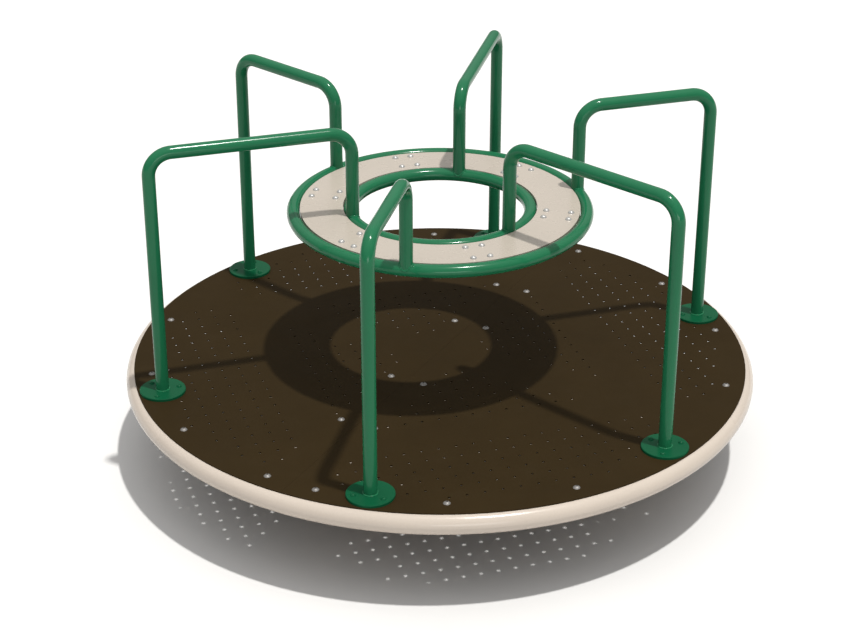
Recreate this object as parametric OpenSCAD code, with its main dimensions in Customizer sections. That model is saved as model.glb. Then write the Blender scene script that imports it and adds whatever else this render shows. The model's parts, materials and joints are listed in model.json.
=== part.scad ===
// Six-post spinning playground platform with a ring table, built up as
// separate welded, bolted and turned pieces. Millimetres, +Z up.
// Origin: on the spin axis, on the ground, under the base plate.

/* [Deck] */
// Radius of the round deck
deck_r = 916; // [900:1:930]
// Height of the walking surface above the ground
deck_z = 292; // [285:1:310]
// Thickness of the perforated deck plates
deck_t = 3; // [2.5:0.1:4]
// Gap between the two half plates
seam_gap = 0.4; // [0.2:0.1:4]
// Diameter of the drain perforations
hole_d = 7.9; // [5:0.1:8]
// Pitch of the square grid of perforations
hole_pitch = 50.4; // [40:0.1:60]
// Distance of the first outer row of perforations from the centre
outer_row = 552.5; // [545:0.5:570]
// Distance of the last inner row of perforations from the centre
inner_row = 395; // [385:0.5:400]

/* [Rim] */
// Outside diameter of the rim tube
rim_d = 60.3; // [56:0.1:62]
// Radius of the rim tube's centreline
rim_R = 910.5; // [908:0.5:914]
// Wall of the rim tube
rim_wall = 3.2; // [2:0.1:5]

/* [Handrails] */
// Outside diameter of the handrail tube
rail_d = 38.1; // [34:0.1:39.4]
// Wall of the handrail tube
rail_wall = 3.2; // [2:0.1:4]
// Radius of the circle that the outer legs stand on
post_R = 845; // [830:1:850]
// Height of the top bar's centreline above the deck
rail_h = 738.5; // [700:0.5:780]
// Bend radius of the handrails, to the centreline
bend_r = 65; // [50:1:80]
// Diameter of the post flanges
flange_d = 133.5; // [125:0.5:140]
// Thickness of the post flanges
flange_t = 8; // [6:0.5:10]
// Radius of the circle of three flange screws
flange_screw_R = 48; // [44:0.5:52]

/* [Ring table] */
// Centreline radius of the outer table tube
table_Ro = 428; // [415:0.5:440]
// Centreline radius of the inner table tube
table_Ri = 263.5; // [255:0.5:275]
// Height of the table tubes' centreline above the deck
table_h = 470; // [440:1:500]
// Thickness of the table panel
panel_t = 12.7; // [9:0.1:15]
// Height of the panel's top above the table tubes' centreline
panel_top = 13.7; // [10:0.1:17]
// Width of the straps under the panel
strap_w = 76; // [70:1:90]
// Tangential spacing of the panel screws
panel_screw_dy = 48.4; // [40:0.1:55]
// Radial spacing of the panel screws
panel_screw_dx = 72.6; // [60:0.1:80]

/* [Base] */
// Diameter of the base plate
base_d = 406; // [390:1:440]
// Thickness of the base plate
base_t = 16; // [12:1:20]
// Circle of the anchor holes
anchor_pcd = 340; // [320:1:350]
// Number of anchor holes
anchor_n = 8; // [4:4:12]
// Diameter of the anchor holes
anchor_d = 18; // [14:0.5:22]

/* [Hidden] */

frame_z = deck_z - deck_t;              // top of the welded frame
rim_z = frame_z - rim_d / 2;            // rim tube centre height
rail_z = deck_z + rail_h;               // top bar centreline
ring_z = deck_z + table_h;              // table tube centreline
panel_z1 = ring_z + panel_top;          // panel top
panel_z0 = panel_z1 - panel_t;          // panel underside
strap_t = 6;
table_Rm = (table_Ro + table_Ri) / 2;

beam_z = frame_z - 0.05;                // top of the channels, a paint film below the plates
beam_w = 203;                           // wide channels, web up
beam_h = 50;
beam_web = 5.6;
beam_fl = 8;
side_w = 127;                           // narrow channels, web up
side_h = 45;
side_web = 5;
side_fl = 6.5;
side_x = 476;
hub_flange_t = 12;
hub_flange_z = beam_z - beam_h - hub_flange_t;

tab_w = 40;
tab_t = 6;
pad_w = 150;
pad_t = 8;
seam_a = 45;                            // seam direction
plate_a = 315;                          // bisector of plate a
plate_b = 135;                          // bisector of plate b
rim_screw_R = 864;
rim_screw_angles = [-85, -61.2, -37.4, 13.6, 37.4, 61.2, 85];  // from a plate's bisector; a post flange takes the place of -13.6
seam_screw_x = [206, 500];
seam_screw_y = 54;
screw_d = 9.8;                          // shank of the 10 mm bolts
screw_hole = 10.8;
beam_clear = 107.5;                     // a row ends this far from a diagonal, along the row
hole_max_r = 840;

hub_r = 60.5;
hub_z0 = 76;
hub_z1 = 252;
hub_bore = 36.5;
low_z = 84;                             // lower cone's back face
up_z = 236;                             // upper cone's back face

// Tapered bearing: [bore r, cup r, cone width, cup width, total width,
//   pitch radius, mid height, axis angle, roller half angle, roller length,
//   roller count, rib radius]
LOW = [25, 45, 23, 20, 24.75, 35, 14.75, 13.6, 2, 16, 17, 38];
UPP = [20, 40, 18, 16, 19.75, 30.9, 11.75, 12, 2, 12, 15, 33];
function apex(b) = b[6] + b[5] / tan(b[7]);
function race_cup(b, z) = (apex(b) - z) * tan(b[7] + b[8]);
function race_cone(b, z) = (apex(b) - z) * tan(b[7] - b[8]);
function slant(b) = b[5] / sin(b[7]);
function corner_r(b, s) = (slant(b) + s * b[9] / 2) * (sin(b[7]) - tan(b[8]) * cos(b[7]));
function corner_z(b, s) = apex(b) - (slant(b) + s * b[9] / 2) * (cos(b[7]) + tan(b[8]) * sin(b[7]));

GREEN = [0.05, 0.42, 0.25];
BROWN = [0.20, 0.15, 0.10];
TAN = [0.82, 0.78, 0.72];
STEEL = [0.65, 0.66, 0.68];
DARK = [0.30, 0.31, 0.33];

$fn = 64;

// ---------- shared shapes ----------
module tube_ring(R, z, d, wall)
    translate([0, 0, z]) rotate_extrude($fn = 180)
        translate([R, 0]) difference() {
            circle(d = d, $fn = 48);
            circle(d = d - 2 * wall, $fn = 48);
        }

module solid_ring(R, z, d)
    translate([0, 0, z]) rotate_extrude($fn = 180)
        translate([R, 0]) circle(d = d, $fn = 48);

// Domed bolt: the underside of the head is at z = 0, the shank points down.
// A socket above 0 cuts a hexagon recess of that size across flats.
module dome_bolt(head_d, head_h, len, socket = 0) {
    rs = (pow(head_d / 2, 2) + head_h * head_h) / (2 * head_h);
    difference() {
        intersection() {
            translate([0, 0, head_h - rs]) sphere(r = rs, $fn = 64);
            cylinder(d = head_d + 2, h = head_h + 1, $fn = 48);
        }
        if (socket > 0) translate([0, 0, head_h - 3])
            cylinder(d = socket / cos(30), h = 4, $fn = 6);
    }
    translate([0, 0, -len]) cylinder(d = screw_d, h = len, $fn = 32);
}

// Hex nut, top face at z = 0
module hex_nut(af, h)
    translate([0, 0, -h]) difference() {
        cylinder(d = af / cos(30), h = h, $fn = 6);
        translate([0, 0, -1]) cylinder(d = screw_d + 0.1, h = h + 2, $fn = 32);
    }

// Channel along +X with its web on top, from x0 to x1
module channel(x0, x1, w, h, web, fl, ztop)
    translate([x0, 0, ztop]) rotate([90, 0, 90]) linear_extrude(x1 - x0)
        polygon([[-w / 2, -h], [-w / 2, 0], [w / 2, 0], [w / 2, -h],
                 [w / 2 - fl, -h], [w / 2 - fl, -web],
                 [-w / 2 + fl, -web], [-w / 2 + fl, -h]]);

module rim_cope() {
    solid_ring(rim_R, rim_z, rim_d + 0.1);
    translate([0, 0, rim_z - 60]) difference() {
        cylinder(r = 1000, h = 120, $fn = 180);
        translate([0, 0, -1]) cylinder(r = 901, h = 122, $fn = 180);
    }
}

// ---------- places of repeated fasteners ----------
module at_rim_screws(b)
    for (q = rim_screw_angles)
        rotate([0, 0, b + q]) translate([rim_screw_R, 0, 0]) children();

module at_seam_screws(b)
    for (x = seam_screw_x) for (s = [-1, 1])
        rotate([0, 0, b]) translate([seam_screw_y, s * x, 0]) children();

module at_flange_screws(k)
    rotate([0, 0, 60 * k]) translate([post_R, 0, 0])
        for (q = [180, 60, -60]) rotate([0, 0, q])
            translate([flange_screw_R, 0, 0]) children();

module at_panel_screws()
    for (k = [0 : 5]) rotate([0, 0, 30 + 60 * k])
        for (sx = [-1, 1]) for (sy = [-1, 1])
            translate([table_Rm + sx * panel_screw_dx / 2,
                       sy * panel_screw_dy / 2, 0]) children();

// ---------- base and spindle ----------
module base_plate() color(STEEL) difference() {
    cylinder(d = base_d, h = base_t, $fn = 96);
    for (i = [0 : anchor_n - 1]) rotate([0, 0, (i + 0.5) * 360 / anchor_n])
        translate([anchor_pcd / 2, 0, -1]) cylinder(d = anchor_d, h = base_t + 2, $fn = 40);
}

module spindle() color(STEEL) difference() {
    union() {
        translate([0, 0, base_t]) cylinder(r = 45, h = 72 - base_t);
        translate([0, 0, 72]) cylinder(r = 31, h = low_z - 72);
        translate([0, 0, low_z]) cylinder(r = LOW[0] - 0.02, h = 24);
        translate([0, 0, low_z + 24]) cylinder(r = 24, h = 214 - low_z - 24);
        translate([0, 0, 214]) cylinder(r = UPP[0] - 0.02, h = 20);
        translate([0, 0, 234]) cylinder(r = 17.98, h = 34);
        translate([0, 0, 268]) cylinder(r1 = 17.98, r2 = 15.5, h = 2.5);
    }
    translate([-30, 0, 263.5]) rotate([0, 90, 0]) cylinder(d = 6.6, h = 60, $fn = 32);
}

module spindle_gussets() color(STEEL) difference() {
    for (a = [0 : 90 : 270]) rotate([0, 0, a])
        translate([0, 5, 0]) rotate([90, 0, 0]) linear_extrude(10)
            polygon([[44, base_t], [140, base_t], [140, base_t + 8],
                     [62, 66], [44, 66]]);
    translate([0, 0, base_t - 1]) cylinder(r = 45.03, h = 60);
}

// ---------- tapered bearings, back face of the cone at z = 0 ----------
module bearing_cone(b) {
    zi = corner_z(b, 1);
    ri = corner_r(b, 1);
    zt = corner_z(b, -1) + 0.4;
    rib_z = zi + (b[11] - ri) * tan(b[7]) - 0.35;
    rotate_extrude($fn = 96) polygon([
        [b[0], 0], [b[11], 0], [b[11], rib_z],
        [race_cone(b, zi - 0.3), zi - 0.3],
        [race_cone(b, zt), zt], [race_cone(b, zt) + 1.4, zt + 0.35],
        [race_cone(b, zt) + 1.4, b[2]], [b[0], b[2]]]);
}

module bearing_cup(b)
    rotate_extrude($fn = 96) polygon([
        [race_cup(b, b[4] - b[3]), b[4] - b[3]], [b[1], b[4] - b[3]],
        [b[1], b[4]], [race_cup(b, b[4]), b[4]]]);

module bearing_rollers(b, g) {
    l0 = slant(b) - b[9] / 2;
    l1 = slant(b) + b[9] / 2;
    for (i = [0 : b[10] - 1]) rotate([0, 0, i * 360 / b[10]])
        translate([0, 0, apex(b)]) rotate([0, 180 - b[7], 0])
            translate([0, 0, l0 - max(0, -g)])
                cylinder(h = b[9] + 2 * max(0, -g),
                         r1 = l0 * tan(b[8]) - g, r2 = l1 * tan(b[8]) - g, $fn = 32);
}

module bearing_cage(b) {
    z0 = apex(b) - (slant(b) + b[9] / 2) * cos(b[7]) - 3;
    z1 = apex(b) - (slant(b) - b[9] / 2) * cos(b[7]) + 1.6;
    t = tan(b[7] + b[8] / 2);
    difference() {
        rotate_extrude($fn = 96) polygon([
            [(apex(b) - z0) * t - 0.9, z0], [(apex(b) - z0) * t + 0.9, z0],
            [(apex(b) - z1) * t + 0.9, z1], [(apex(b) - z1) * t - 0.9, z1]]);
        bearing_rollers(b, -0.3);
    }
}

module low_place() translate([0, 0, low_z]) children();
module up_place() translate([0, 0, up_z]) mirror([0, 0, 1]) children();

module lower_bearing_cone() color(STEEL) low_place() bearing_cone(LOW);
module upper_bearing_cone() color(STEEL) up_place() bearing_cone(UPP);
module lower_bearing_cup() color(STEEL) low_place() bearing_cup(LOW);
module upper_bearing_cup() color(STEEL) up_place() bearing_cup(UPP);
module lower_bearing_rollers() color(STEEL) low_place() bearing_rollers(LOW, 0.2);
module upper_bearing_rollers() color(STEEL) up_place() bearing_rollers(UPP, 0.2);
module lower_bearing_cage() color(DARK) low_place() bearing_cage(LOW);
module upper_bearing_cage() color(DARK) up_place() bearing_cage(UPP);

module spindle_washer() color(STEEL) translate([0, 0, up_z]) difference() {
    cylinder(r = 32, h = 4);
    translate([0, 0, -1]) cylinder(r = 18.3, h = 6);
}

module castle_nut() color(STEEL) translate([0, 0, up_z + 4]) difference() {
    cylinder(d = 55 / cos(30), h = 28, $fn = 6);
    translate([0, 0, -1]) cylinder(r = 18.02, h = 30);
    for (a = [0 : 60 : 120]) rotate([0, 0, a])
        translate([-40, -3.6, 19]) cube([80, 7.2, 12]);
}

module split_pin() color(STEEL) {
    translate([-34, 0, 263.5]) rotate([0, 90, 0]) cylinder(d = 6, h = 66, $fn = 32);
    translate([-34, 0, 263.5]) rotate([90, 0, 0])
        rotate_extrude($fn = 32) translate([2.6, 0]) circle(d = 2.4, $fn = 16);
}

// ---------- hub ----------
module hub_housing() color(TAN) difference() {
    translate([0, 0, hub_z0]) cylinder(r = hub_r, h = hub_z1 - hub_z0);
    translate([0, 0, hub_z0 - 1]) cylinder(r = LOW[1], h = low_z + LOW[4] - hub_z0 + 1);
    translate([0, 0, hub_z0]) cylinder(r = hub_bore, h = hub_z1 - hub_z0);
    translate([0, 0, up_z - UPP[4]]) cylinder(r = UPP[1], h = UPP[3]);
    translate([0, 0, up_z - UPP[4] + UPP[3]]) cylinder(r = 42, h = 40);
    translate([0, 0, 165]) rotate([0, 90, 22.5]) cylinder(d = 6.2, h = 80, $fn = 32);
}

module hub_flange() color(TAN) translate([0, 0, hub_flange_z]) difference() {
    cylinder(r = 170, h = hub_flange_t, $fn = 96);
    translate([0, 0, -1]) cylinder(r = hub_r, h = hub_flange_t + 2, $fn = 64);
}

module hub_gussets() color(TAN) difference() {
    for (a = [45 : 90 : 315]) rotate([0, 0, a])
        translate([0, 5, 0]) rotate([90, 0, 0]) linear_extrude(10)
            polygon([[hub_r - 1, 140], [hub_r + 12, 140], [155, hub_flange_z - 14],
                     [155, hub_flange_z], [hub_r - 1, hub_flange_z]]);
    translate([0, 0, 130]) cylinder(r = hub_r + 0.03, h = 110);
}

module grease_seal() color(DARK) translate([0, 0, hub_z0 + 0.5]) difference() {
    cylinder(r = LOW[1] - 0.02, h = 6.5);
    translate([0, 0, -1]) cylinder(r = 31.06, h = 9);
    translate([0, 0, 2.5]) difference() {
        cylinder(r = 42.5, h = 6);
        translate([0, 0, -1]) cylinder(r = 33.5, h = 8);
    }
}

module grease_cap() color(STEEL) rotate_extrude($fn = 96) polygon([
    [39.5, 244], [42, 244], [42, hub_z1], [46, hub_z1], [46, hub_z1 + 2],
    [41.5, hub_z1 + 2], [40.5, 270], [36, 276], [20, 278.5], [0, 279],
    [0, 277], [19.5, 276.5], [34.5, 274.3], [38.5, 269], [39.5, hub_z1 + 2]]);

module grease_fitting() color(STEEL) translate([0, 0, 165]) rotate([0, 90, 22.5])
    difference() {
        union() {
            translate([0, 0, 44]) cylinder(d = 6.1, h = 18, $fn = 32);
            translate([0, 0, hub_r + 0.3]) cylinder(d = 9 / cos(30), h = 5, $fn = 6);
            translate([0, 0, hub_r + 5]) cylinder(d = 5, h = 5, $fn = 32);
            translate([0, 0, hub_r + 10.5]) sphere(d = 6.6, $fn = 32);
        }
        translate([0, 0, 40]) cylinder(d = 1.6, h = 60, $fn = 24);
    }

// ---------- welded frame ----------
module seam_beam() color(TAN) rotate([0, 0, seam_a]) difference() {
    channel(-901, 901, beam_w, beam_h, beam_web, beam_fl, beam_z);
    rim_cope();
    rotate([0, 0, -seam_a]) for (b = [plate_a, plate_b]) {
        at_seam_screws(b) translate([0, 0, frame_z - 10]) cylinder(d = screw_hole, h = 20, $fn = 32);
        at_rim_screws(b) translate([0, 0, frame_z - 10]) cylinder(d = screw_hole, h = 20, $fn = 32);
    }
}

module cross_arm(a) color(TAN) rotate([0, 0, a]) difference() {
    channel(beam_w / 2, 901, beam_w, beam_h, beam_web, beam_fl, beam_z);
    rim_cope();
}

module side_beam(a) {
    m = beam_w / 2 * sqrt(2);
    x0 = side_x - side_w / 2;
    x1 = side_x + side_w / 2;
    color(TAN) rotate([0, 0, a]) intersection() {
        translate([side_x, 0, 0]) rotate([0, 0, 90])
            channel(-600, 600, side_w, side_h, side_web, side_fl, beam_z);
        translate([0, 0, frame_z - side_h - 5]) linear_extrude(side_h + 10)
            polygon([[x0 - 5, -(x0 - 5 - m)], [x1 + 5, -(x1 + 5 - m)],
                     [x1 + 5, x1 + 5 - m], [x0 - 5, x0 - 5 - m]]);
    }
}

module rim_tube() color(TAN) tube_ring(rim_R, rim_z, rim_d, rim_wall);

module rim_tabs() color(TAN)
    for (b = [plate_a, plate_b]) for (q = rim_screw_angles) if (abs(q) < 80)
        rotate([0, 0, b + q])
            translate([0, 0, frame_z - tab_t]) linear_extrude(tab_t)
                difference() {
                    intersection() {
                        translate([836, -tab_w / 2]) square([70, tab_w]);
                        circle(r = 892, $fn = 180);
                    }
                    translate([rim_screw_R, 0]) circle(d = screw_hole, $fn = 32);
                }

module post_pads() color(TAN)
    for (k = [0 : 5]) rotate([0, 0, 60 * k])
        translate([0, 0, frame_z - pad_t]) linear_extrude(pad_t)
            difference() {
                intersection() {
                    translate([768, -pad_w / 2]) square([140, pad_w]);
                    circle(r = 890, $fn = 180);
                }
                translate([post_R, 0]) for (q = [180, 60, -60]) rotate(q)
                    translate([flange_screw_R, 0]) circle(d = screw_hole, $fn = 32);
            }

// ---------- deck ----------
// One quadrant's grid of perforations, looking out along +X.
// posts lists the angles of the handrail posts, from the quadrant's axis.
module hole_field(posts) {
    // outer rows
    for (i = [0 : 5]) for (j = [-11 : 10]) {
        u = outer_row + i * hole_pitch;
        v = (j + 0.5) * hole_pitch;
        if (abs(v) <= u - beam_clear && u * u + v * v <= hole_max_r * hole_max_r)
            translate([u, v]) hole_unless_post(u, v, posts);
    }
    // inner rows
    for (i = [0 : 5]) for (j = [-6 : 5]) {
        u = inner_row - i * hole_pitch;
        v = (j + 0.5) * hole_pitch;
        if (u > 0 && abs(v) <= u - beam_clear) translate([u, v]) circle(d = hole_d, $fn = 16);
    }
}

function near_post(u, v, a) =
    norm([u - post_R * cos(a), v - post_R * sin(a)]) < flange_d / 2 + 6;
module hole_unless_post(u, v, posts) {
    if (len([for (a = posts) if (near_post(u, v, a)) 1]) == 0)
        circle(d = hole_d, $fn = 16);
}

// Half plate whose bisector points along angle b
module deck_plate(b) color(BROWN)
    translate([0, 0, frame_z]) linear_extrude(deck_t) difference() {
        intersection() {
            circle(r = deck_r, $fn = 240);
            rotate(b) translate([seam_gap / 2, -deck_r - 10]) square([deck_r + 20, 2 * deck_r + 20]);
        }
        for (s = [-45, 45]) rotate(b + s)
            hole_field((b + s) % 180 == 0 ? [0] : [-30, 30]);
        for (q = rim_screw_angles) rotate(b + q)
            translate([rim_screw_R, 0]) circle(d = screw_hole, $fn = 32);
        for (x = seam_screw_x) for (s = [-1, 1]) rotate(b)
            translate([seam_screw_y, s * x]) circle(d = screw_hole, $fn = 32);
        for (k = [-1 : 1]) rotate(b - 15 + 60 * k)
            translate([post_R, 0]) for (q = [180, 60, -60]) rotate(q)
                translate([flange_screw_R, 0]) circle(d = screw_hole, $fn = 32);
    }

module deck_screws() color(STEEL) translate([0, 0, deck_z]) for (b = [plate_a, plate_b]) {
    at_rim_screws(b) dome_bolt(20.5, 5.5, 22, 6);
    at_seam_screws(b) dome_bolt(20.5, 5.5, 22, 6);
}

module deck_nuts() color(STEEL) for (b = [plate_a, plate_b]) {
    for (q = rim_screw_angles)
        rotate([0, 0, b + q]) translate([rim_screw_R, 0, 0])
            translate([0, 0, abs(q) > 80 ? beam_z - beam_web : frame_z - tab_t]) hex_nut(17, 8.4);
    at_seam_screws(b) translate([0, 0, beam_z - beam_web]) hex_nut(17, 8.4);
}

// ---------- handrails ----------
module rail_path(r_in, d, ext) {
    z1 = rail_z - bend_r;
    translate([post_R, 0, deck_z - ext]) cylinder(d = d, h = z1 - deck_z + ext, $fn = 48);
    translate([post_R - bend_r, 0, z1]) rotate([90, 0, 0])
        rotate_extrude(angle = 90, $fn = 96) translate([bend_r, 0]) circle(d = d, $fn = 48);
    translate([r_in + bend_r, 0, rail_z]) rotate([0, 90, 0])
        cylinder(d = d, h = post_R - r_in - 2 * bend_r, $fn = 48);
    translate([r_in + bend_r, 0, z1]) mirror([1, 0, 0]) rotate([90, 0, 0])
        rotate_extrude(angle = 90, $fn = 96) translate([bend_r, 0]) circle(d = d, $fn = 48);
    translate([r_in, 0, ring_z + 6 - ext]) cylinder(d = d, h = z1 - ring_z - 6 + ext, $fn = 48);
}

// k counts round from +X; even ones reach the outer table tube, odd ones the inner
module handrail(k) {
    r_in = k % 2 == 0 ? table_Ro : table_Ri;
    color(GREEN) rotate([0, 0, 60 * k]) difference() {
        rail_path(r_in, rail_d, 0);
        rail_path(r_in, rail_d - 2 * rail_wall, 1);
        solid_ring(r_in, ring_z, rail_d + 0.1);
    }
}

module post_flange(k) color(GREEN) rotate([0, 0, 60 * k])
    translate([post_R, 0, deck_z]) difference() {
        union() {
            cylinder(d = flange_d, h = flange_t - 1.5, $fn = 96);
            translate([0, 0, flange_t - 1.5])
                cylinder(d1 = flange_d, d2 = flange_d - 3, h = 1.5, $fn = 96);
        }
        translate([0, 0, -1]) cylinder(d = rail_d + 0.2, h = flange_t + 2, $fn = 64);
        for (q = [180, 60, -60]) rotate([0, 0, q])
            translate([flange_screw_R, 0, -1]) cylinder(d = screw_hole, h = flange_t + 2, $fn = 32);
    }

module flange_screws() color(GREEN) for (k = [0 : 5])
    at_flange_screws(k) translate([0, 0, deck_z + flange_t]) dome_bolt(16, 5.4, 29);

module flange_nuts() color(STEEL) for (k = [0 : 5])
    at_flange_screws(k) translate([0, 0, frame_z - pad_t]) hex_nut(17, 8.4);

// ---------- ring table ----------
module table_outer_tube() color(GREEN) tube_ring(table_Ro, ring_z, rail_d, rail_wall);
module table_inner_tube() color(GREEN) tube_ring(table_Ri, ring_z, rail_d, rail_wall);

module table_straps() color(GREEN)
    for (k = [0 : 5]) rotate([0, 0, 30 + 60 * k])
        translate([0, 0, panel_z0 - strap_t]) linear_extrude(strap_t) difference() {
            intersection() {
                translate([table_Ri, -strap_w / 2]) square([table_Ro - table_Ri, strap_w]);
                circle(r = table_Ro - rail_d / 2 - 0.1, $fn = 180);
            }
            circle(r = table_Ri + rail_d / 2 + 0.1, $fn = 180);
            for (sx = [-1, 1]) for (sy = [-1, 1])
                translate([table_Rm + sx * panel_screw_dx / 2, sy * panel_screw_dy / 2])
                    circle(d = screw_hole, $fn = 32);
        }

module table_panel() color(TAN)
    translate([0, 0, panel_z0]) linear_extrude(panel_t) difference() {
        circle(r = table_Ro - rail_d / 2 - 0.6, $fn = 180);
        circle(r = table_Ri + rail_d / 2 + 0.6, $fn = 180);
        for (k = [0 : 5]) rotate(30 + 60 * k)
            for (sx = [-1, 1]) for (sy = [-1, 1])
                translate([table_Rm + sx * panel_screw_dx / 2, sy * panel_screw_dy / 2])
                    circle(d = screw_hole, $fn = 32);
    }

module panel_screws() color(STEEL)
    at_panel_screws() translate([0, 0, panel_z1]) dome_bolt(19, 6.8, 31);
module panel_nuts() color(STEEL)
    at_panel_screws() translate([0, 0, panel_z0 - strap_t]) hex_nut(17, 8.4);

base_plate();
spindle();
spindle_gussets();
lower_bearing_cone();
upper_bearing_cone();
spindle_washer();
castle_nut();
split_pin();
lower_bearing_rollers();
lower_bearing_cage();
upper_bearing_rollers();
upper_bearing_cage();
hub_housing();
hub_flange();
hub_gussets();
lower_bearing_cup();
upper_bearing_cup();
grease_seal();
grease_cap();
grease_fitting();
seam_beam();
cross_arm(plate_a);  // cross_arm_a
cross_arm(plate_b);  // cross_arm_b
side_beam(0);  // side_beam_1
side_beam(90);  // side_beam_2
side_beam(180);  // side_beam_3
side_beam(270);  // side_beam_4
rim_tube();
rim_tabs();
post_pads();
deck_plate(plate_a);  // deck_plate_a
deck_plate(plate_b);  // deck_plate_b
deck_screws();
deck_nuts();
handrail(0);  // handrail_1
handrail(1);  // handrail_2
handrail(2);  // handrail_3
handrail(3);  // handrail_4
handrail(4);  // handrail_5
handrail(5);  // handrail_6
post_flange(0);  // post_flange_1
post_flange(1);  // post_flange_2
post_flange(2);  // post_flange_3
post_flange(3);  // post_flange_4
post_flange(4);  // post_flange_5
post_flange(5);  // post_flange_6
flange_screws();
flange_nuts();
table_outer_tube();
table_inner_tube();
table_straps();
table_panel();
panel_screws();
panel_nuts();
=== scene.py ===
import json
import math
import bpy
import bmesh
from mathutils import Vector, Matrix

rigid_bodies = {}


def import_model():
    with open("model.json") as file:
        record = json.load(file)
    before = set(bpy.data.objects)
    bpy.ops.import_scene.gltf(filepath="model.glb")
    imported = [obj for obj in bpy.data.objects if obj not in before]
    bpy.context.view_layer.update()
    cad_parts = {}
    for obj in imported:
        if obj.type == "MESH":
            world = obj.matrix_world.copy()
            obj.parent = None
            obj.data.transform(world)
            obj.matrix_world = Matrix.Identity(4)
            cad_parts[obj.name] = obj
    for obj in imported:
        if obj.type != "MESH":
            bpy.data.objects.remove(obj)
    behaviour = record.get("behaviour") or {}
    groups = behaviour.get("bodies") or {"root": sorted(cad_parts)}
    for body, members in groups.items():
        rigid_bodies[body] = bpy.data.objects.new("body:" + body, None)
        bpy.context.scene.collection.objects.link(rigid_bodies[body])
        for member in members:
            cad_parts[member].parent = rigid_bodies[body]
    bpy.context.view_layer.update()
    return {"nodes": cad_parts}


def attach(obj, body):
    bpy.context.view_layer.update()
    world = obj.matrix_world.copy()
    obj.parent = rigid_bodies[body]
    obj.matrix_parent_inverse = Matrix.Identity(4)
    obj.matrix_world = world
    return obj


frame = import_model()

scene = bpy.context.scene
nodes = frame["nodes"]

# ------------------------------------------------------------------ camera
scene.view_settings.view_transform = "Standard"
scene.view_settings.look = "None"
scene.view_settings.exposure = 0.0
scene.view_settings.gamma = 1.0

cam_data = bpy.data.cameras.new("camera")
cam_data.sensor_fit = "HORIZONTAL"
cam_data.sensor_width = 36.0
cam_data.lens = 84.0265
cam_data.clip_end = 200.0
cam = bpy.data.objects.new("camera", cam_data)
scene.collection.objects.link(cam)
fwd = Vector((0.26261383, 0.8543542, -0.44845611)).normalized()
up0 = Vector((0.13185728, 0.42863335, 0.89380485))
right = fwd.cross(up0).normalized()
up = right.cross(fwd).normalized()
m = Matrix((right, up, -fwd)).transposed().to_4x4()
m.translation = Vector((-1.60540842, -5.07233097, 3.07103229))
cam.matrix_world = m
scene.camera = cam

# ------------------------------------------------------------------ light
SUN_DIR = Vector((-0.147, 0.156, -1.0)).normalized()
sun_data = bpy.data.lights.new("sun", "SUN")
sun_data.energy = 3.05
sun_data.angle = math.radians(1.9)
sun_data.color = (1.0, 0.985, 0.96)
sun = bpy.data.objects.new("sun", sun_data)
sun.rotation_euler = SUN_DIR.to_track_quat("-Z", "Y").to_euler()
scene.collection.objects.link(sun)

fill_data = bpy.data.lights.new("fill", "AREA")
fill_data.shape = "RECTANGLE"
fill_data.size = 3.2
fill_data.size_y = 1.6
fill_data.energy = 85.0
fill = bpy.data.objects.new("fill", fill_data)
fill.location = (-1.1, -7.2, 1.45)
fill.rotation_euler = (Vector((0, 0, 0.5)) - fill.location).to_track_quat("-Z", "Y").to_euler()
scene.collection.objects.link(fill)

world = bpy.data.worlds.new("world")
scene.world = world
world.use_nodes = True
wt = world.node_tree
bg = wt.nodes["Background"]
bg.inputs["Strength"].default_value = 1.12
geo = wt.nodes.new("ShaderNodeTexCoord")
sep = wt.nodes.new("ShaderNodeSeparateXYZ")
wt.links.new(geo.outputs["Generated"], sep.inputs["Vector"])
sky = wt.nodes.new("ShaderNodeValToRGB")
sky.color_ramp.elements[0].position = 0.0
sky.color_ramp.elements[0].color = (0.15, 0.152, 0.156, 1.0)
sky.color_ramp.elements[1].position = 1.0
sky.color_ramp.elements[1].color = (1.0, 1.0, 1.0, 1.0)
wt.links.new(sep.outputs["Z"], sky.inputs["Fac"])
wt.links.new(sky.outputs["Color"], bg.inputs["Color"])


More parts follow.
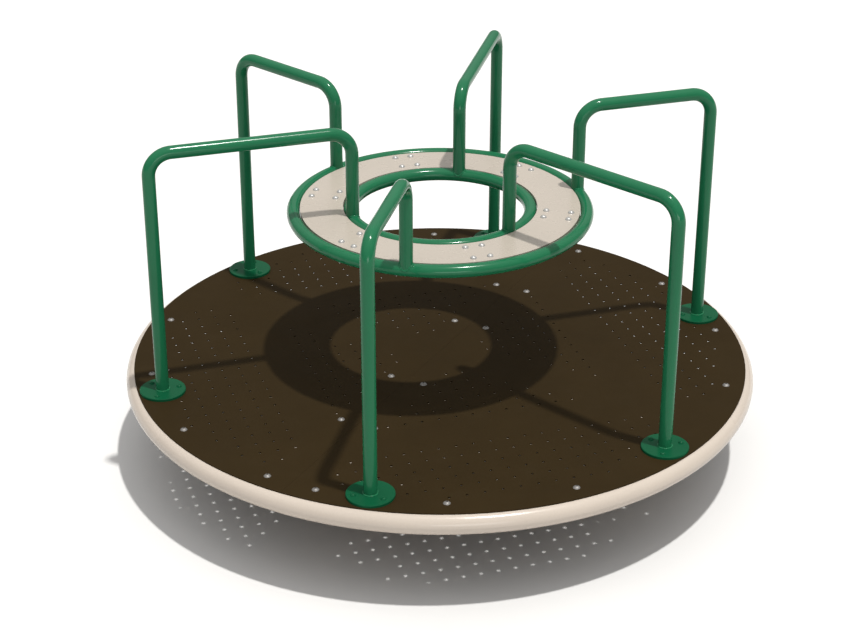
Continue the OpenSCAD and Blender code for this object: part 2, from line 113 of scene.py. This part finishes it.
# ------------------------------------------------------------------ materials
class Mat:
    """A small wrapper that adds nodes to one material."""

    def __init__(self, name):
        self.m = bpy.data.materials.new(name)
        self.m.use_nodes = True
        self.nt = self.m.node_tree
        self.bsdf = self.nt.nodes["Principled BSDF"]
        self.coord = self.add("ShaderNodeTexCoord").outputs["Object"]

    def add(self, kind, **props):
        n = self.nt.nodes.new(kind)
        for k, v in props.items():
            setattr(n, k, v)
        return n

    def link(self, a, b):
        self.nt.links.new(a, b)

    def noise(self, scale, detail=3.0, rough=0.5, stretch=None):
        n = self.add("ShaderNodeTexNoise")
        n.inputs["Scale"].default_value = scale
        n.inputs["Detail"].default_value = detail
        n.inputs["Roughness"].default_value = rough
        src = self.coord
        if stretch:
            mp = self.add("ShaderNodeMapping")
            mp.inputs["Scale"].default_value = stretch
            self.link(src, mp.inputs["Vector"])
            src = mp.outputs["Vector"]
        self.link(src, n.inputs["Vector"])
        return n.outputs["Fac"]

    def ramp(self, fac, stops):
        r = self.add("ShaderNodeValToRGB")
        el = r.color_ramp.elements
        while len(el) > 1:
            el.remove(el[-1])
        el[0].position, el[0].color = stops[0][0], (*stops[0][1], 1.0)
        for pos, col in stops[1:]:
            e = el.new(pos)
            e.color = (*col, 1.0)
        self.link(fac, r.inputs["Fac"])
        return r.outputs["Color"]

    def span(self, fac, lo, hi, a=0.3, b=0.7):
        r = self.add("ShaderNodeMapRange")
        r.inputs["From Min"].default_value = a
        r.inputs["From Max"].default_value = b
        r.inputs["To Min"].default_value = lo
        r.inputs["To Max"].default_value = hi
        self.link(fac, r.inputs["Value"])
        return r.outputs["Result"]

    def mix(self, fac, a, b, mode="MIX"):
        n = self.add("ShaderNodeMix", data_type="RGBA", blend_type=mode)
        for sock, v in ((n.inputs[0], fac), (n.inputs[6], a), (n.inputs[7], b)):
            if isinstance(v, (int, float)):
                sock.default_value = v
            elif isinstance(v, tuple):
                sock.default_value = (*v, 1.0)
            else:
                self.link(v, sock)
        return n.outputs[2]

    def bump(self, height, strength, distance, prev=None):
        b = self.add("ShaderNodeBump")
        b.inputs["Strength"].default_value = strength
        b.inputs["Distance"].default_value = distance
        self.link(height, b.inputs["Height"])
        if prev is not None:
            self.link(prev, b.inputs["Normal"])
        return b.outputs["Normal"]

    def set(self, **kw):
        for k, v in kw.items():
            s = self.bsdf.inputs[k.replace("_", " ")]
            if isinstance(v, (int, float)):
                s.default_value = v
            elif isinstance(v, tuple):
                s.default_value = (*v, 1.0) if len(v) == 3 else v
            else:
                self.link(v, s)
        return self


def scaled(c, k):
    return tuple(min(1.0, x * k) for x in c)


def powder_coat(name, colour, rough, spec, vary=0.06, peel=0.25, grit=0.0, dust=0.0, dust_col=(0.5, 0.47, 0.42), coat=0.0):
    """Baked powder coating: a smooth film with faint orange peel, and slow drifts of tone and gloss."""
    a = Mat(name)
    slow = a.noise(5.0, 4.0, 0.55)
    fine = a.noise(190.0, 3.0, 0.5)
    col = a.ramp(slow, [(0.30, scaled(colour, 1 - vary)), (0.70, scaled(colour, 1 + vary))])
    col = a.mix(a.span(fine, 0.0, 0.10, 0.35, 0.75), col, scaled(colour, 1.35))
    if dust:
        film = a.noise(16.0, 6.0, 0.65)
        col = a.mix(a.span(film, 0.0, dust, 0.50, 0.85), col, dust_col)
    a.set(Base_Color=col, Specular_IOR_Level=spec, Metallic=0.0,
          Roughness=a.span(a.noise(11.0, 5.0, 0.6), rough - 0.03, rough + 0.04))
    nrm = a.bump(a.noise(420.0, 2.0, 0.5), peel, 0.0002)
    if grit:
        nrm = a.bump(a.noise(1500.0, 2.0, 0.6), grit, 0.00025, nrm)
    a.link(nrm, a.bsdf.inputs["Normal"])
    if coat:
        a.set(Coat_Weight=coat, Coat_Roughness=0.12)
    return a.m


GREEN = (0.0100, 0.118, 0.050)
TAN = (0.457, 0.397, 0.338)
BROWN = (0.0236, 0.0148, 0.0051)
# Painted shade: the rail green darkened to under half for the flat flange tops and the flange screws, which carry
# the same paint as the rails.
GREEN_PAINTED_SHADE = (0.0035, 0.0670, 0.0275)

M = {}
M["green"] = powder_coat("green_powder_coat", GREEN, 0.15, 0.22, vary=0.05, peel=0.05)
# painted shade: a darker copy of the rail green, used on the flanges and flange screws
M["green_painted_shade"] = powder_coat("green_powder_coat_painted_shade", GREEN_PAINTED_SHADE, 0.30, 0.07, vary=0.05, peel=0.05)
M["tan"] = powder_coat("tan_powder_coat", TAN, 0.20, 0.30, vary=0.025, peel=0.06)
M["brown"] = powder_coat("brown_deck_coat", BROWN, 0.62, 0.04, vary=0.07, peel=0.15, grit=0.30, dust=0.012, dust_col=(0.16, 0.14, 0.11))


def sheet_plastic():
    a = Mat("tan_panel_sheet")
    base = (0.405, 0.358, 0.305)
    slow = a.noise(7.0, 3.0, 0.5)
    speck = a.noise(900.0, 2.0, 0.5)
    col = a.ramp(slow, [(0.30, scaled(base, 0.985)), (0.70, scaled(base, 1.012))])
    col = a.mix(a.span(speck, 0.0, 0.05, 0.52, 0.72), col, scaled(base, 0.92))
    a.set(Base_Color=col, Specular_IOR_Level=0.45,
          Roughness=a.span(a.noise(14.0, 4.0, 0.6), 0.24, 0.31))
    a.link(a.bump(a.noise(650.0, 3.0, 0.55), 0.04, 0.0002), a.bsdf.inputs["Normal"])
    return a.m


M["panel"] = sheet_plastic()


def metal(name, colour, rough, vary=0.12, scale=30.0, bump=0.1, stretch=None, metallic=1.0):
    a = Mat(name)
    n = a.noise(scale, 4.0, 0.6, stretch)
    col = a.ramp(n, [(0.30, scaled(colour, 1 - vary)), (0.70, scaled(colour, 1 + vary))])
    a.set(Base_Color=col, Metallic=metallic,
          Roughness=a.span(a.noise(scale * 2.3, 4.0, 0.6, stretch), rough - 0.08, rough + 0.1))
    a.link(a.bump(a.noise(scale * 12, 3.0, 0.6, stretch), bump, 0.0002), a.bsdf.inputs["Normal"])
    return a.m


M["zinc"] = metal("dull_zinc", (0.20, 0.19, 0.18), 0.50, 0.12, 60.0, 0.12, metallic=0.5)
M["bright"] = metal("bright_stainless", (0.40, 0.392, 0.378), 0.34, 0.04, 80.0, 0.03, metallic=0.40)
M["ground"] = metal("ground_steel", (0.52, 0.52, 0.53), 0.26, 0.08, 40.0, 0.06, (1.0, 1.0, 14.0))
M["cage"] = metal("pressed_steel", (0.27, 0.27, 0.28), 0.45, 0.10, 50.0, 0.08)
M["cap"] = metal("plated_cap", (0.58, 0.56, 0.50), 0.30, 0.06, 40.0, 0.05)
M["brass"] = metal("brass", (0.66, 0.47, 0.20), 0.30, 0.08, 90.0, 0.06)


def galvanised():
    """Hot-dip zinc: a crystal pattern with each grain its own grey."""
    a = Mat("galvanised_steel")
    v = a.add("ShaderNodeTexVoronoi")
    v.inputs["Scale"].default_value = 95.0
    a.link(a.coord, v.inputs["Vector"])
    bw = a.add("ShaderNodeSeparateColor")
    a.link(v.outputs["Color"], bw.inputs["Color"])
    grain = a.ramp(bw.outputs[0], [(0.0, (0.34, 0.35, 0.36)), (0.5, (0.43, 0.44, 0.45)), (1.0, (0.54, 0.55, 0.56))])
    film = a.noise(9.0, 5.0, 0.6)
    col = a.mix(a.span(film, 0.0, 0.35, 0.45, 0.8), grain, (0.50, 0.50, 0.48))
    a.set(Base_Color=col, Metallic=0.85, Roughness=a.span(bw.outputs[1], 0.34, 0.52, 0.0, 1.0))
    a.link(a.bump(film, 0.15, 0.0006), a.bsdf.inputs["Normal"])
    return a.m


M["galv"] = galvanised()


def rubber():
    a = Mat("seal_rubber")
    n = a.noise(200.0, 3.0, 0.6)
    col = a.ramp(n, [(0.3, (0.016, 0.016, 0.016)), (0.7, (0.030, 0.029, 0.028))])
    a.set(Base_Color=col, Roughness=a.span(n, 0.55, 0.75), Specular_IOR_Level=0.35)
    a.link(a.bump(n, 0.2, 0.0003), a.bsdf.inputs["Normal"])
    return a.m


M["rubber"] = rubber()

LOOK = {
    "base_plate": "galv", "spindle_gussets": "galv", "spindle": "ground",
    "lower_bearing_cone": "ground", "upper_bearing_cone": "ground",
    "lower_bearing_cup": "ground", "upper_bearing_cup": "ground",
    "lower_bearing_rollers": "ground", "upper_bearing_rollers": "ground",
    "lower_bearing_cage": "cage", "upper_bearing_cage": "cage",
    "spindle_washer": "zinc", "castle_nut": "zinc", "split_pin": "ground",
    "grease_seal": "rubber", "grease_cap": "cap", "grease_fitting": "brass",
    "hub_housing": "tan", "hub_flange": "tan", "hub_gussets": "tan",
    "seam_beam": "tan", "cross_arm_a": "tan", "cross_arm_b": "tan",
    "side_beam_1": "tan", "side_beam_2": "tan", "side_beam_3": "tan", "side_beam_4": "tan",
    "rim_tube": "tan", "rim_tabs": "tan", "post_pads": "tan",
    "deck_plate_a": "brown", "deck_plate_b": "brown",
    "deck_screws": "zinc", "deck_nuts": "zinc", "flange_nuts": "zinc", "panel_nuts": "zinc",
    # the flange screws take the darker copy of the green, which is painted shade
    "flange_screws": "green_painted_shade", "panel_screws": "bright", "table_panel": "panel",
    "table_outer_tube": "green", "table_inner_tube": "green", "table_straps": "green",
}
for k in range(1, 7):
    LOOK["handrail_%d" % k] = "green"
    # the flanges take the darker copy of the green, which is painted shade
    LOOK["post_flange_%d" % k] = "green_painted_shade"
for name, obj in nodes.items():
    obj.data.materials.clear()
    obj.data.materials.append(M[LOOK[name]])


# ------------------------------------------------------------------ mesh helpers
def new_piece(name, verts, faces, material, body, smooth=True):
    me = bpy.data.meshes.new(name)
    me.from_pydata(verts, [], faces)
    me.validate()
    if smooth:
        me.shade_smooth()
    me.materials.append(M[material])
    o = bpy.data.objects.new(name, me)
    scene.collection.objects.link(o)
    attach(o, body)
    return o


def frame_along(t):
    """Two unit vectors square to t."""
    ref = Vector((0, 0, 1)) if abs(t.z) < 0.9 else Vector((1, 0, 0))
    u = t.cross(ref).normalized()
    return u, t.cross(u).normalized()


def bead(verts, faces, path, radius, closed, step=0.0022, sides=8):
    """Adds a rippled weld bead swept along the points of path (metres)."""
    pts = [Vector(p) for p in path]
    if closed:
        pts.append(pts[0])
    length = [0.0]
    for a, b in zip(pts, pts[1:]):
        length.append(length[-1] + (b - a).length)
    total = length[-1]
    n = max(8, int(round(total / step)))
    out = []
    j = 0
    for i in range(n if closed else n + 1):
        s = total * i / n
        while j < len(pts) - 2 and length[j + 1] < s:
            j += 1
        d = length[j + 1] - length[j]
        f = 0.0 if d <= 0 else (s - length[j]) / d
        out.append((pts[j].lerp(pts[j + 1], f), (pts[j + 1] - pts[j]).normalized(), s))
    base = len(verts)
    rings = []
    for i, (p, t, s) in enumerate(out):
        if not closed and i in (0, len(out) - 1):
            r = radius * 0.45
        else:
            r = radius * (0.90 + 0.10 * abs(math.sin(math.pi * s / 0.0066)))
        u, v = frame_along(t)
        ring = []
        for k in range(sides):
            a = 2 * math.pi * k / sides
            ring.append(len(verts))
            verts.append(tuple(p + u * (r * math.cos(a)) + v * (r * math.sin(a))))
        rings.append(ring)
    m_ = len(rings)
    for i in range(m_ if closed else m_ - 1):
        a, b = rings[i], rings[(i + 1) % m_]
        for k in range(sides):
            faces.append((a[k], a[(k + 1) % sides], b[(k + 1) % sides], b[k]))
    if not closed:
        faces.append(tuple(reversed(rings[0])))
        faces.append(tuple(rings[-1]))
    return base


def turn(p, deg):
    a = math.radians(deg)
    c, s = math.cos(a), math.sin(a)
    return (p[0] * c - p[1] * s, p[0] * s + p[1] * c, p[2])


# sizes in metres, repeated from the CAD model
DECK_Z = 0.292
FRAME_Z = 0.289
POST_R = 0.845
RAIL_R = 0.01905
FLANGE_TOP = 0.300
RING_Z = 0.762
RO, RI = 0.428, 0.2635
RIM_R, RIM_Z, RIM_T = 0.9105, FRAME_Z - 0.03015, 0.03015


def circle_path(cx, cy, z, r, n=96):
    return [(cx + r * math.cos(2 * math.pi * i / n), cy + r * math.sin(2 * math.pi * i / n), z) for i in range(n)]


# welds on the handrails: round each flange, and where each inner leg meets its table tube
for k in range(6):
    v, f = [], []
    bead(v, f, [turn(p, 60 * k) for p in circle_path(POST_R, 0, FLANGE_TOP + 0.0002, RAIL_R + 0.0006)], 0.0028, True)
    new_piece("weld_flange_%d" % (k + 1), v, f, "green", "platform")
    r_in = RO if k % 2 == 0 else RI
    path = []
    for i in range(120):
        a = 2 * math.pi * i / 120
        x = r_in + RAIL_R * math.cos(a)
        y = RAIL_R * math.sin(a)
        dx = math.hypot(x, y) - r_in
        h = math.sqrt(max(0.0, RAIL_R * RAIL_R - dx * dx))
        q = 1 + 0.0002 / RAIL_R
        path.append(turn((r_in + (x - r_in) * q, y * q, RING_Z + max(h, 0.0040)), 60 * k))
    v, f = [], []
    bead(v, f, path, 0.0023, True)
    new_piece("weld_saddle_%d" % (k + 1), v, f, "green", "platform")


def surf(r_off_z):
    """Radius of the rim tube's inner surface at height z."""
    d = r_off_z - RIM_Z
    return RIM_R - math.sqrt(max(0.0, RIM_T * RIM_T - d * d))


# welds under the deck
v, f = [], []
for a in (45, 135, 225, 315):
    for s in (-1, 1):
        path = []
        for i in range(25):
            z = 0.2405 + (0.2865 - 0.2405) * i / 24
            R = surf(z) - 0.0006
            y = s * 0.1028
            path.append(turn((math.sqrt(R * R - y * y), y, z), a))
        bead(v, f, path, 0.0032, False)
for k in range(6):
    R = surf(0.281) - 0.001
    path = []
    for i in range(41):
        y = -0.073 + 0.146 * i / 40
        path.append(turn((math.sqrt(R * R - y * y), y, 0.2808), 60 * k))
    bead(v, f, path, 0.0034, False)
for b in (315, 135):
    for q in (-61.2, -37.4, 13.6, 37.4, 61.2):
        R = surf(0.283) - 0.001
        path = []
        for i in range(13):
            y = -0.018 + 0.036 * i / 12
            path.append(turn((math.sqrt(R * R - y * y), y, 0.2828), b + q))
        bead(v, f, path, 0.0030, False)
new_piece("weld_rim_joints", v, f, "tan", "platform")

v, f = [], []
bead(v, f, circle_path(0, 0, 0.2262, 0.0620), 0.0036, True)
for a in (45, 135, 225, 315):
    for s in (-1, 1):
        bead(v, f, [turn((0.0625, s * 0.0062, 0.2258), a), turn((0.1530, s * 0.0062, 0.2258), a)], 0.0028, False)
        bead(v, f, [turn((0.0618, s * 0.0062, 0.1420), a), turn((0.0618, s * 0.0062, 0.2240), a)], 0.0028, False)
for a in (0, 90, 180, 270):
    m2 = 0.1015 * math.sqrt(2)
    for s in (-1, 1):
        for xo in (0.4125, 0.5395):
            y = s * (xo - m2)
            out = 0.0012 if xo > 0.476 else -0.0012
            bead(v, f, [turn((xo + out, y - s * 0.001, 0.2450), a), turn((xo + out, y - s * 0.001, 0.2870), a)], 0.0028, False)
new_piece("weld_frame_joints", v, f, "tan", "platform")

v, f = [], []
bead(v, f, circle_path(0, 0, 0.0172, 0.0462), 0.0040, True)
for a in (0, 90, 180, 270):
    for s in (-1, 1):
        bead(v, f, [turn((0.0475, s * 0.0062, 0.0170), a), turn((0.1385, s * 0.0062, 0.0170), a)], 0.0030, False)
        bead(v, f, [turn((0.0458, s * 0.0062, 0.0190), a), turn((0.0458, s * 0.0062, 0.0640), a)], 0.0030, False)
new_piece("weld_base_joints", v, f, "galv", "pedestal")

# strap welds under the table
v, f = [], []
zs = RING_Z + 0.001 - 0.006
for k in range(6):
    a = 30 + 60 * k
    for R in (RI + RAIL_R + 0.0010, RO - RAIL_R - 0.0010):
        path = []
        for i in range(17):
            y = -0.036 + 0.072 * i / 16
            path.append(turn((math.sqrt(R * R - y * y), y, zs - 0.0006), a))
        bead(v, f, path, 0.0028, False)
new_piece("weld_straps", v, f, "green", "platform")

# ------------------------------------------------------------------ floor
def floor_material():
    a = Mat("pale_floor")
    n = a.noise(2.0, 2.0, 0.5)
    col = a.ramp(n, [(0.3, (0.665, 0.66, 0.652)), (0.7, (0.68, 0.675, 0.667))])
    a.set(Base_Color=col, Roughness=0.9, Specular_IOR_Level=0.0)
    return a.m


me = bpy.data.meshes.new("floor")
S = 30.0
me.from_pydata([(-S, -S, 0), (S, -S, 0), (S, S, 0), (-S, S, 0)], [], [(0, 1, 2, 3)])
me.materials.append(floor_material())
floor = bpy.data.objects.new("floor", me)
scene.collection.objects.link(floor)

bpy.context.view_layer.update()

# The fill light reaches the object only, so that the shadow on the floor stays as deep as the sun leaves it.
lit = bpy.data.collections.new("fill_receivers")
for o in scene.objects:
    if o.type == "MESH" and o is not floor:
        lit.objects.link(o)
fill.light_linking.receiver_collection = lit
